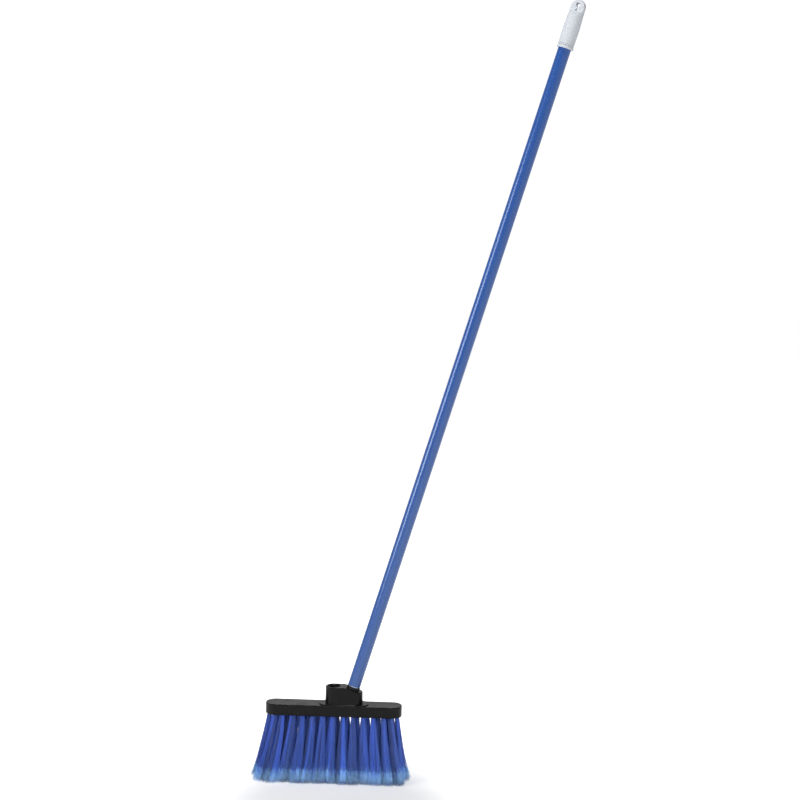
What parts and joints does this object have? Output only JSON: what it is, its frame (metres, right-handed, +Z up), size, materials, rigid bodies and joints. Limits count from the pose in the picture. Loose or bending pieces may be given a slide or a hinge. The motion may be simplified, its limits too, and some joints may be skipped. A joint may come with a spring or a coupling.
{
  "type": "upright broom",
  "caption": "Upright sweeping broom: a flared blue bristle head with upright and angled screw sockets, a straight blue handle screwed into the angled socket, and a white hanging cap.",
  "frame": {"origin": "on the floor, straight under the axis of the upright socket", "axes": "+Z up; +X along the block towards the side the handle leans to; +Y to the back"},
  "size_m": [0.5418, 0.0712, 1.3446],
  "materials": {
    "block_plastic": "satin",
    "bristle": "satin",
    "anchor_wire": "satin",
    "handle_paint": "gloss",
    "tip_plastic": "satin",
    "cap_plastic": "satin"
  },
  "bodies": {
    "head": {"block": "block_plastic", "tuft_front_01": "bristle", "tuft_front_02": "bristle", "tuft_front_03": "bristle", "tuft_front_04": "bristle", "tuft_front_05": "bristle", "tuft_front_06": "bristle", "tuft_front_07": "bristle", "tuft_front_08": "bristle", "tuft_front_09": "bristle", "tuft_front_10": "bristle", "tuft_front_11": "bristle", "tuft_front_12": "bristle", "tuft_front_13": "bristle", "tuft_middle_01": "bristle", "tuft_middle_02": "bristle", "tuft_middle_03": "bristle", "tuft_middle_04": "bristle", "tuft_middle_05": "bristle", "tuft_middle_06": "bristle", "tuft_middle_07": "bristle", "tuft_middle_08": "bristle", "tuft_middle_09": "bristle", "tuft_middle_10": "bristle", "tuft_middle_11": "bristle", "tuft_middle_12": "bristle", "tuft_middle_13": "bristle", "tuft_middle_14": "bristle", "tuft_back_01": "bristle", "tuft_back_02": "bristle", "tuft_back_03": "bristle", "tuft_back_04": "bristle", "tuft_back_05": "bristle", "tuft_back_06": "bristle", "tuft_back_07": "bristle", "tuft_back_08": "bristle", "tuft_back_09": "bristle", "tuft_back_10": "bristle", "tuft_back_11": "bristle", "tuft_back_12": "bristle", "tuft_back_13": "bristle", "anchors_front": "anchor_wire", "anchors_middle": "anchor_wire", "anchors_back": "anchor_wire"},
    "cap": {"hanging_cap": "cap_plastic"},
    "handle": {"handle_tube": "handle_paint", "threaded_tip": "tip_plastic"}
  },
  "joints": [
    {"name": "handle_advance", "type": "slide", "parent": "head", "child": "cap", "axis": [0.289, 0, 0.9573], "range_m": [0, 0.0254]},
    {"name": "handle_turn", "type": "hinge", "parent": "cap", "child": "handle", "pos_m": [0.0331, 0, 0.1599], "axis": [0.289, 0, 0.9573], "range_deg": [0, 1805]}
  ],
  "couplings": [
    {"joint": "handle_turn", "follows": "handle_advance", "rad_per_m": 1236.8}
  ]
}
